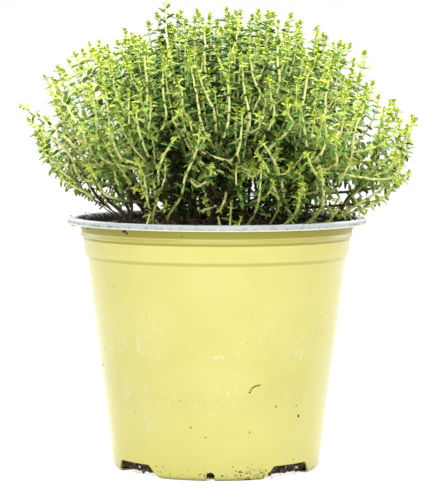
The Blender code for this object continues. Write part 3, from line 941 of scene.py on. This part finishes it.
class Path:
    # A bent line with a steady sideways direction along it
    def __init__(self, points):
        self.points = points
        self.tip = points[-1]
        self.lengths = [0.0]
        for first, second in zip(points, points[1:]):
            self.lengths.append(self.lengths[-1] + (second - first).length)
        self.length = self.lengths[-1]
        self.side = (self.tip - points[0]).orthogonal().normalized()

    def at(self, distance):
        distance = min(max(distance, 0.0), self.length)
        i = 0
        while i < len(self.points) - 2 and self.lengths[i + 1] < distance:
            i += 1
        span = self.lengths[i + 1] - self.lengths[i]
        way = (self.points[i + 1] - self.points[i]).normalized()
        return self.points[i].lerp(self.points[i + 1], (distance - self.lengths[i]) / span), way

    def frameAt(self, distance):
        point, way = self.at(distance)
        side = (self.side - way * way.dot(self.side)).normalized()
        return point, side, way.cross(side), way

    def farFrom(self, spot):  # how far its nearest point is
        return min((point - spot).length for point in self.points)


def bent(start, startWay, end, endWay, steps):
    # A path that leaves its start one way and reaches its end another
    reach = (end - start).length * 0.4
    a, b, c, d = start, start + startWay * reach, end - endWay * reach, end
    points = []
    for i in range(steps + 1):
        share = i / steps
        rest = 1 - share
        points.append(a * rest ** 3 + b * 3 * rest ** 2 * share
                      + c * 3 * rest * share ** 2 + d * share ** 3)
    return Path(points)


def through(spots, steps):
    # A path that runs smoothly through every spot
    before = [2 * spots[0] - spots[1]] + spots + [2 * spots[-1] - spots[-2]]
    points = [spots[0]]
    for a, b, c, d in zip(before, before[1:], before[2:], before[3:]):
        for i in range(1, steps + 1):
            t = i / steps
            points.append((2 * b + (c - a) * t + (2 * a - 5 * b + 4 * c - d) * t ** 2
                           + (3 * b - a - 3 * c + d) * t ** 3) / 2)
    return Path(points)


def addTube(bm, template, path, radii, tones, wobble=0.0, draw=None, taper=1.0):
    # Bends the straight template along the path and adds it to bm. tones holds the map's first value
    # at the foot and the tip, or is a function that gives it for a share of the way
    straight = template.places
    curved = np.empty_like(straight)
    for share in np.unique(straight[:, 2].round(6)):
        rows = np.abs(straight[:, 2] - share) < 1e-4
        point, side, across, way = path.frameAt(share * path.length)
        radius = radii[0] + (radii[1] - radii[0]) * share ** taper
        if wobble and 0 < share < 1:
            point = point + side * draw.gauss(0, wobble) + across * draw.gauss(0, wobble)
        curved[rows] = np.array(point) + straight[rows, :2] @ (np.array([side, across]) * radius)
    template.mesh.vertices.foreach_set("co", curved.astype(np.float32).ravel())
    along, girth = template.map.T
    tone = tones(along) if callable(tones) else tones[0] + (tones[1] - tones[0]) * along
    template.setMap(np.column_stack((tone, girth / 1.25)))  # the seam's faces pass one whole turn
    bm.from_mesh(template.mesh)


def addLeaf(bm, template, point, way, outward, angle, length, tone, twist=0.0):
    # angle is measured from the stem's direction out towards the leaf's side; blades turn to the light
    heading = outward * math.sin(angle) + way * math.cos(angle)
    face = way * math.sin(angle) - outward * math.cos(angle)
    face = blendWays(face, up, plant["faceUp"])
    face = (face - heading * face.dot(heading)).normalized()
    basis = Matrix((heading, face.cross(heading), face)).transposed().to_4x4()
    column = math.floor(min(max(tone, 0.0), 0.99) * ageColumns)
    across, along = template.map.T
    template.setMap(np.column_stack(((column + 0.5 + across * 0.88) / ageColumns, along)))
    addCopy(bm, template.mesh, Matrix.Translation(point) @ basis @ Matrix.Rotation(twist, 4, "X")
            @ Matrix.Scale(length, 4))


def endOf(node, pick):
    # The middle of a CAD stem's lower end, where pick is min, or its upper end, where it is max
    places = [vert.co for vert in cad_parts[node].data.vertices]
    edge = pick(place.z for place in places)
    near = [place for place in places if abs(place.z - edge) < 0.8 * mm]
    return sum(near, Vector()) / len(near)


def leafAngle(age):  # radians from the stem: young leaves stand, old ones spread
    first, opened, openAge, sagged, sagAge = plant["leafAngles"]
    opened *= min(1.0, age / (openAge * mm))
    return math.radians(first + opened + sagged * min(1.0, age / (sagAge * mm)))


def leafTone(age, draw):
    middle, middleAge = plant["middleTone"]
    young, youngAge = plant["youngTone"]
    middle *= math.exp(-age / (middleAge * mm))
    young *= math.exp(-(age / (youngAge * mm)) ** 2)
    return plant["oldTone"] + middle + young + draw.gauss(0, plant["toneScatter"])


def stemTones(path, shift, stretch=1.0):
    # Green at the tip, then pale, then brown: by the distance from the growing point
    distances, values = zip(*stemLook["tones"])
    far = lambda share: (1 - share) * path.length / mm / stretch
    return lambda share: np.clip(np.interp(far(share), distances, values) + shift, 0.02, 0.98)


def paintedSideLight(path):  # painted light: leaves at the sides of the bush are made paler, as if lit more
    return plant["sideLightShare"] * ramp(abs(path.tip.x), 20 * mm, 60 * mm)


def paintedLowLight(path):  # painted light: the short shoots low in front are made paler, as if lit from the front
    return plant["lowLightShare"] * ramp(path.tip.z, plant["lowTip"] * mm, (plant["lowTip"] - 20) * mm)


def growLeaves(bm, blades, path, draw, toneShift, bareFoot, leafScale, sparse=1.0):
    # Opposite pairs, each turned a quarter from the last; the youngest are packed into a rosette
    distance = path.length
    turn = draw.uniform(0, math.pi)
    age = 0.0
    while distance > bareFoot:
        point, side, across, way = path.frameAt(distance)
        grown = min(1.0, 0.34 + age / (9.5 * mm))
        length = draw.uniform(*plant["leafLength"]) * grown * mm * leafScale
        tone = leafTone(age, draw) + toneShift
        shed = plant["shedChance"] + max(0.0, age / mm - plant["shedFrom"]) * plant["shedRise"]
        kind = "tip" if age < 2.2 * mm else "main" if age < 30 * mm else "inner"
        for half in range(2):
            if draw.random() < shed:
                continue
            azimuth = turn + half * math.pi + draw.gauss(0, 0.16)
            outward = side * math.cos(azimuth) + across * math.sin(azimuth)
            addLeaf(bm, draw.choice(blades[kind]), point, way, outward,
                    leafAngle(age) + draw.gauss(0, 0.13),
                    length, tone + draw.gauss(0, 0.08), draw.gauss(0, 0.15))
            if age > 5 * mm and draw.random() < plant["tuftChance"] / sparse ** 2:
                for spread in (draw.uniform(0.3, 0.8), -draw.uniform(0.3, 0.8))[:draw.choice((1, 2))]:
                    beside = side * math.cos(azimuth + spread) + across * math.sin(azimuth + spread)
                    addLeaf(bm, draw.choice(blades["small"]), point + way * 0.3 * mm, way, beside,
                            math.radians(draw.uniform(25, 60)), length * draw.uniform(0.35, 0.6),
                            tone + 0.10 + draw.gauss(0, 0.05), draw.gauss(0, 0.3))
        turn += math.pi / 2
        gap = min(plant["leafStep"] * sparse, 0.4 + 0.5 * age / mm) * draw.uniform(0.85, 1.15) * mm
        age += gap
        distance -= gap


def domePoint(polar, azimuth, share):
    centre = Vector((0, 0, rimHeight + plant["domeCentreUp"] * mm))
    degrees, left, right = zip(*plant["reach"])
    rightShare = (1 + math.sin(azimuth)) / 2
    reach = (1 - rightShare) * float(np.interp(math.degrees(polar), degrees, left))
    reach += rightShare * float(np.interp(math.degrees(polar), degrees, right))
    return centre + around(azimuth, math.sin(polar), math.cos(polar)) * reach * share * mm


def shootTips(draw):
    # Spread over the dome like seeds in a sunflower, then shaken, some of them deeper inside
    tips = []
    golden = math.pi * (3 - math.sqrt(5))
    lowest = math.cos(math.radians(plant["lowestTip"]))
    for i in range(plant["shoots"]):
        polar = math.acos(1 - (i + 0.5) / plant["shoots"] * (1 - lowest))
        polar = max(0.0, polar + draw.gauss(0, 0.05))
        azimuth = i * golden + draw.gauss(0, 0.06)
        swell = noise.noise(Vector((math.sin(azimuth), math.cos(azimuth), polar)) * 1.8) * 0.015
        depth = draw.choice((0.0, 0.0, 0.0, 0.0, 0.05, 0.10, 0.20)) + draw.gauss(0.012, 0.014)
        if polar > math.radians(92) and draw.random() < 0.6:
            continue
        leftShare = max(0.0, -math.sin(azimuth))
        if polar > math.radians(110 - 22 * leftShare ** 2):
            continue  # the left side is bare low down
        if math.cos(azimuth) > 0.35 and polar > 0.35:
            lower = ramp(math.degrees(polar), 62, 87)
            depth += 0.045 + 0.09 * lower  # behind the shoots that stand out
            if draw.random() < 0.2 + 0.45 * lower:
                continue
        if abs(math.sin(azimuth)) > 0.7 and polar > 0.8 and draw.random() < plant["sideGaps"]:
            continue
        tips.append((domePoint(polar, azimuth, 1.0 + swell - depth), polar, azimuth))
    return tips


def woodyBranches(number, draw):
    # From the foot in the soil: one main stem into the sprig, and side branches that fork from it
    foot = endOf(f"woody_stem_{number:02d}", min)
    fork = endOf(f"woody_stem_{number:02d}", max)
    low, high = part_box(f"leafy_sprig_{number:02d}")
    middle = (low + high) / 2
    outward = (middle - fork).normalized()
    foot = onSoil(foot + Vector((draw.gauss(0, 2.0), draw.gauss(0, 2.0), 0)) * mm, -0.5 * mm)
    top = fork.lerp(middle, draw.uniform(0.5, 0.9))
    main = bent(foot, blendWays(up, outward, 0.65), top, blendWays(outward, up, 0.3), 14)
    branches = [(main, [thick / 2 * mm for thick in plant["mainStem"]])]
    across = outward.cross(up)
    across = across.normalized() if across.length > 0.1 else Vector((1, 0, 0))
    for i in range(plant["forks"]):
        start, way = main.at(main.length * draw.uniform(0.05, 0.4))
        hand = draw.choice((-1, 1))
        sideways = across * hand * draw.uniform(5, 13) * mm
        end = fork.lerp(middle, draw.uniform(0.2, 0.7)) + sideways + up * draw.uniform(-6, 6) * mm
        branch = bent(start, blendWays(way, across * hand, 0.5), end, blendWays(outward, up, 0.5), 12)
        branches.append((branch, [thick / 2 * mm for thick in plant["fork"]]))
    return branches


def bladeTemplates():
    # rise, droop and bluntness of each leaf of a kind
    main = ((34, -55, 0.92), (26, -44, 0.85), (40, -66, 0.95), (20, -34, 0.88))
    inner = ((30, -50, 0.9), (20, -32, 0.9))
    small = ((20, -30, 0.9), (5, -45, 0.9))
    return {"main": [bladeTemplate(f"blade{i}", 4, 0.46, -0.40, *bend) for i, bend in enumerate(main)],
            "inner": [bladeTemplate(f"inner{i}", 3, 0.52, -0.35, *bend) for i, bend in enumerate(inner)],
            "small": [bladeTemplate(f"small{i}", 3, 0.44, -0.35, *bend) for i, bend in enumerate(small)],
            "tip": [bladeTemplate("tipBlade", 4, 0.72, 0.2, 8, -42, 0.85)]}


def sprigPath(home, tip, polar, azimuth, draw):
    skirt = max(0.0, math.cos(math.pi - polar))
    start, way = home.at(home.length * draw.uniform(0.12, 0.97 - 1.3 * skirt))
    outward = (tip - start).normalized()
    level = Vector((outward.x, outward.y, 0))
    hub = Vector((0, 0, rimHeight - 11.2 * mm))
    upShare = 0.5 + 0.3 * max(0.0, math.sin(azimuth)) + draw.gauss(0, 0.1)
    tipWay = blendWays((tip - hub).normalized(), up, min(1.0, max(0.0, upShare)))
    shake = Vector((draw.gauss(0, 0.15), draw.gauss(0, 0.15), draw.gauss(0, 0.1)))
    startWay = (outward + way * 0.4 + level * (0.15 + skirt) + shake).normalized()
    return bent(start, startWay, tip, (tipWay + shake * 0.5).normalized(), 12)


def shootPath(spots, joints):
    # A shoot that stands out starts on the nearest wood below it, or in the soil where that is far off
    below = [spot for spot in joints if spot.z < spots[0].z - 3 * mm]
    root = min(below, key=lambda spot: (spot - spots[0]).length + (spot - spots[0]).xy.length)
    inFront = spots[0].z < 117 * mm and spots[0].y < -30 * mm
    if inFront and (root - spots[0]).xy.length > 14 * mm:
        root = onSoil(spots[0] * 0.8, -0.5 * mm)
    return through([root] + spots, 4)


def buildPlant(blades, leafMaterial, stemMaterial):
    draw = random.Random(plant["seed"])
    shootTube = tubeTemplate("shootTube", 6, 11)
    longTube = tubeTemplate("longTube", 6, 20)
    woodyTube = tubeTemplate("woodyTube", 8, 15)
    barkMaterial = woodyBark(barkLook)
    numbers = range(1, 1 + sum(name.startswith("leafy_sprig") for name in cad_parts))
    branches = {number: woodyBranches(number, draw) for number in numbers}
    joints = [spot for kept in branches.values() for path, radii in kept for spot in path.points]
    centres = {number: sum(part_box(f"leafy_sprig_{number:02d}"), Vector()) / 2 for number in numbers}
    nearest = lambda spot: min(numbers, key=lambda number: (centres[number] - spot).length)
    for line, thick in woodLines:
        spots = [Vector(spot) * mm for spot in line]
        if spots[0].z < 106 * mm:
            spots[0] = onSoil(spots[0], -0.5 * mm)
        branches[nearest(spots[-1])].append((through(spots, 5), (thick / 2 * mm, thick * 0.3 * mm)))
    placed = {number: [] for number in numbers}
    for line in sum(shootLines.values(), []):
        spots = [Vector(spot) * mm for spot in line]
        placed[nearest(spots[-1])].append(shootPath(spots, joints))
    owned = {number: [] for number in numbers}
    middle = Vector((0, 0, rimHeight + plant["domeCentreUp"] * mm))
    for across, height in outlineTips:
        tip = Vector((across, draw.uniform(-14, 14), height)) * mm
        owned[nearest(tip)].append((tip, (tip - middle).angle(up), math.atan2(tip.x, -tip.y)))
    for tip, polar, azimuth in shootTips(draw):
        owned[nearest(tip)].append((tip, polar, azimuth))
    grow = lambda path, *values: growLeaves(leafBm, blades, path, draw, *values)
    for number in numbers:
        woodBm, stemBm, leafBm = bmesh.new(), bmesh.new(), bmesh.new()
        for path, radii in branches[number]:
            addTube(woodBm, woodyTube, path, radii, (0.05, 0.75), 0.12 * mm, draw)
            if radii[0] < 0.4 * mm:  # a thin old stem keeps a few small leaves
                grow(path, 0.0, path.length * 0.35, 0.55)
        for path, radii in branches[number][:4]:
            if path.points[0].x > -14 * mm:  # leaves low inside, though not on the bare left side
                grow(path, -0.18, path.length * 0.3, 0.9)
        for path in placed[number]:
            thick = plant["shootThick"] * mm * draw.uniform(1.0, 1.15)
            aside, height = abs(path.tip.x) / mm, path.tip.z / mm
            stretch = 0.75 if height < 139 and aside > 60 else 1.5
            tones = stemTones(path, 0.03, stretch)
            addTube(stemBm, longTube, path, (thick / 2, thick * 0.27), tones, taper=4.0)
            tone = paintedSideLight(path) + paintedLowLight(path)
            if height >= plant["lowTip"]:
                grow(path, tone, path.length * 0.1, 1.0)
            else:
                grow(path, tone, path.length * 0.1, 0.72 if height < 140 and aside > 30 else 0.82, 1.3)
        for tip, polar, azimuth in owned[number]:
            reach = lambda branch: branch[0].farFrom(tip) + draw.uniform(0, 8) * mm
            home = min(branches[number], key=reach)[0]
            path = sprigPath(home, tip, polar, azimuth, draw)
            thick = plant["shootThick"] * mm * draw.uniform(0.85, 1.1)
            tones = stemTones(path, draw.gauss(0, 0.06), 1.15)
            addTube(stemBm, shootTube, path, (thick / 2, thick * 0.24), tones, 0.03 * mm, draw, 3.0)
            tone = paintedSideLight(path) + draw.gauss(0, 0.08)
            scale = 0.76 if polar > math.radians(plant["skirt"]) else 1.0
            grow(path, tone, path.length * 0.12, draw.uniform(0.88, 1.08) * scale)
        newPiece(f"woody_stem_and_forks_{number:02d}", woodBm, "thyme_bark", barkMaterial,
                 replaced=f"woody_stem_{number:02d}")
        newPiece(f"leafy_shoot_stems_{number:02d}", stemBm, "thyme_leaf", stemMaterial)
        newPiece(f"sprig_leaves_{number:02d}", leafBm, "thyme_leaf", leafMaterial,
                 replaced=f"leafy_sprig_{number:02d}")


seedlings = [  # foot, lean and height, size of the leaves, shift of the leaves' tone
    ((5.5, -44), (0.5, -1, 13), 0.85, 0.22),
    ((8.5, -46), (2, -2, 8), 0.75, 0.25),
    ((2, -47.5), (-1.5, -2.5, 7.5), 0.4, 0.5),
    ((-30, -44), (2, -2, 9), 0.45, 0.35),
    ((38, -30), (4, -3, 9), 0.55, 0.05),
    ((12, 46), (0, 3, 12), 0.8, 0.2),
    ((-40, 24), (-4, 2, 10), 0.7, 0.2),
]
undergrowth = {"count": 56, "across": (-24, 48), "deep": (-24, 40), "height": (9, 26), "tone": -0.13,
               "leaves": (0.65, 0.85)}


def growFromSoil(names, tube, radii, tones, bareFoot, stalks, draw, blades, materials):
    # Short leafy shoots straight from the soil; stalks gives each one's foot, lean, leaf size and tone
    bms = [bmesh.new(), bmesh.new()]
    for foot, lean, leafScale, tone in stalks:
        foot = onSoil(Vector(foot) * mm, -0.4 * mm)
        lean = Vector(lean) * mm
        path = bent(foot, up, foot + lean, blendWays(lean.normalized(), up, 0.3), 8)
        addTube(bms[0], tube, path, radii, tones or stemTones(path, 0.0))
        growLeaves(bms[1], blades, path, draw, tone, bareFoot, leafScale)
    for name, bm, material in zip(names, bms, materials):
        newPiece(name, bm, "thyme_leaf", material)


def buildSeedlings(blades, leafMaterial, stemMaterial):  # new shoots near the rim
    growFromSoil(("seedling_stems", "seedling_leaves"), tubeTemplate("shortTube", 6, 6),
                 (0.5 * mm, 0.38 * mm),
                 None, 2.5 * mm, seedlings, random.Random(53), blades, (stemMaterial, leafMaterial))


def buildUndergrowth(blades, leafMaterial, stemMaterial):  # old twigs deep inside, where little light comes
    draw = random.Random(67)
    between = lambda name: draw.uniform(*undergrowth[name])
    stalks = (((between("across"), between("deep")), (draw.gauss(0, 5), draw.gauss(0, 5),
                                                      between("height")),
               between("leaves"), undergrowth["tone"]) for i in range(undergrowth["count"]))
    growFromSoil(("undergrowth_twigs", "undergrowth_leaves"), tubeTemplate("lowTube", 5, 6),
                 (0.45 * mm, 0.25 * mm), (0.05, 0.3), 2.0 * mm, stalks, draw, blades,
                 (stemMaterial, leafMaterial))


litter = {"count": 130, "length": (3.0, 5.5), "spread": 56.0,
          "look": {"name": "dead_thyme_leaf", "colours": ["#2E2416", "#5C4A2C", "#8C7A4C"], "grain": 3.0,
                   "rough": 0.8, "bumpDepth": 0.1}}


def buildLitter(blades):
    # Dead leaves that lie on the soil
    draw = random.Random(61)
    bm = bmesh.new()
    for i in range(litter["count"]):
        spot = strewn(draw, litter["spread"])
        spot = onSoil(spot, draw.uniform(0.3, 0.9) * mm)
        way = around(draw.uniform(0, fullTurn), 1.0, draw.gauss(0, 0.15)).normalized()
        addLeaf(bm, draw.choice(blades["inner"]), spot, up, way, math.pi / 2,
                draw.uniform(*litter["length"]) * mm, 0.5, draw.gauss(0, 0.7))
    newPiece("dead_leaves_on_the_soil", bm, "thyme_leaf", looseMatter(**litter["look"]))


studio = {  # lamps: place, size and power
    "skyLight": 0.09, "floor": "#9A9A9A", "floorGlow": 0.9,
    "lamps": {
        "key": ((0.0, -1.41, 1.05), (1.8, 0.3), 10.3),
        "fill": ((0.0, -1.70, 0.45), (1.5, 0.5), 11.7),
        "top": ((0.0, 0.15, 1.50), (1.2, 0.8), 46.0),
        "left": ((-1.25, -0.20, 0.85), (0.8, 0.8), 2.5),
        "right": ((1.25, -0.20, 0.85), (0.8, 0.8), 3.5),
        "left edge": ((-1.0, 0.95, 0.75), (0.9, 0.9), 14.5),
        "right edge": ((1.0, 0.95, 0.75), (0.9, 0.9), 15.0),
    },
}
camera = {"distance": 1105.0, "height": 172.0, "aimHeight": 95.8, "aside": 0.33, "lens": 184.8,
          "roll": 0.15}


def buildStudio():
    world = bpy.data.worlds.new("studio")
    bpy.context.scene.world = world
    world.use_nodes = True
    rays = addNode(world, "LightPath", {}).outputs
    seen = addNode(world, "Math", {"operation": "MAXIMUM", 0: rays["Is Camera Ray"],
                                   1: rays["Is Glossy Ray"]})
    seen = addNode(world, "Math", {"operation": "MAXIMUM", 0: seen, 1: rays["Is Transmission Ray"]})
    strength = addNode(world, "MapRange", {"Value": seen, "To Min": studio["skyLight"], "To Max": 1.0})
    fill(world.node_tree.nodes["Background"], {"Color": (1, 1, 1, 1), "Strength": strength})

    bm = bmesh.new()
    bmesh.ops.create_grid(bm, x_segments=2, y_segments=2, size=3.0)
    floor = addObject("floor", toMesh("floor", bm))
    material, add = startMaterial("white_paper_sweep")
    finishMaterial(material, {"Base Color": linear(studio["floor"]), "Roughness": 0.9})
    paper = material.node_tree.nodes["Principled BSDF"]
    seen = add("LightPath", {}).outputs["Is Camera Ray"]
    both = add("AddShader", {0: paper, 1: add("Emission", {"Strength": studio["floorGlow"]})})
    surface = add("MixShader", {0: seen, 1: paper, 2: both})
    fill(material.node_tree.nodes["Material Output"], {"Surface": surface})
    floor.data.materials.append(material)

    for name, (place, size, power) in studio["lamps"].items():
        light = bpy.data.lights.new(name, "AREA")
        light.energy = power
        light.shape = "RECTANGLE"
        light.size, light.size_y = size
        lamp = addObject(name, light)
        lamp.location = place
        lamp.rotation_euler = (Vector((0, 0, 0.1)) - lamp.location).to_track_quat("-Z", "Y").to_euler()
    bpy.context.scene.view_settings.view_transform = "Standard"


def buildCamera():
    data = bpy.data.cameras.new("camera")
    data.lens = camera["lens"]
    data.sensor_width = 36.0
    data.clip_start = 0.01
    eye = addObject("camera", data)
    eye.location = (camera["aside"] * mm, -camera["distance"] * mm, camera["height"] * mm)
    aim = Vector((camera["aside"] * mm, 0, camera["aimHeight"] * mm)) - eye.location
    turn = aim.to_track_quat("-Z", "Y").to_matrix() @ Matrix.Rotation(math.radians(camera["roll"]), 3, "Z")
    eye.rotation_euler = turn.to_euler()
    bpy.context.scene.camera = eye


buildStudio()
buildCamera()
buildPot()
buildRootBall()
crumbMeshes = crumbTemplates(random.Random(7))
scatterCrumbs(crumbMeshes)
buildSpecks(crumbMeshes)
buildRoots()
buildTwigs()
bladeMeshes = bladeTemplates()
plantMaterials = leafBlade(leafLook), greenStem(stemLook)
buildPlant(bladeMeshes, *plantMaterials)
buildSeedlings(bladeMeshes, *plantMaterials)
buildUndergrowth(bladeMeshes, *plantMaterials)
buildLitter(bladeMeshes)
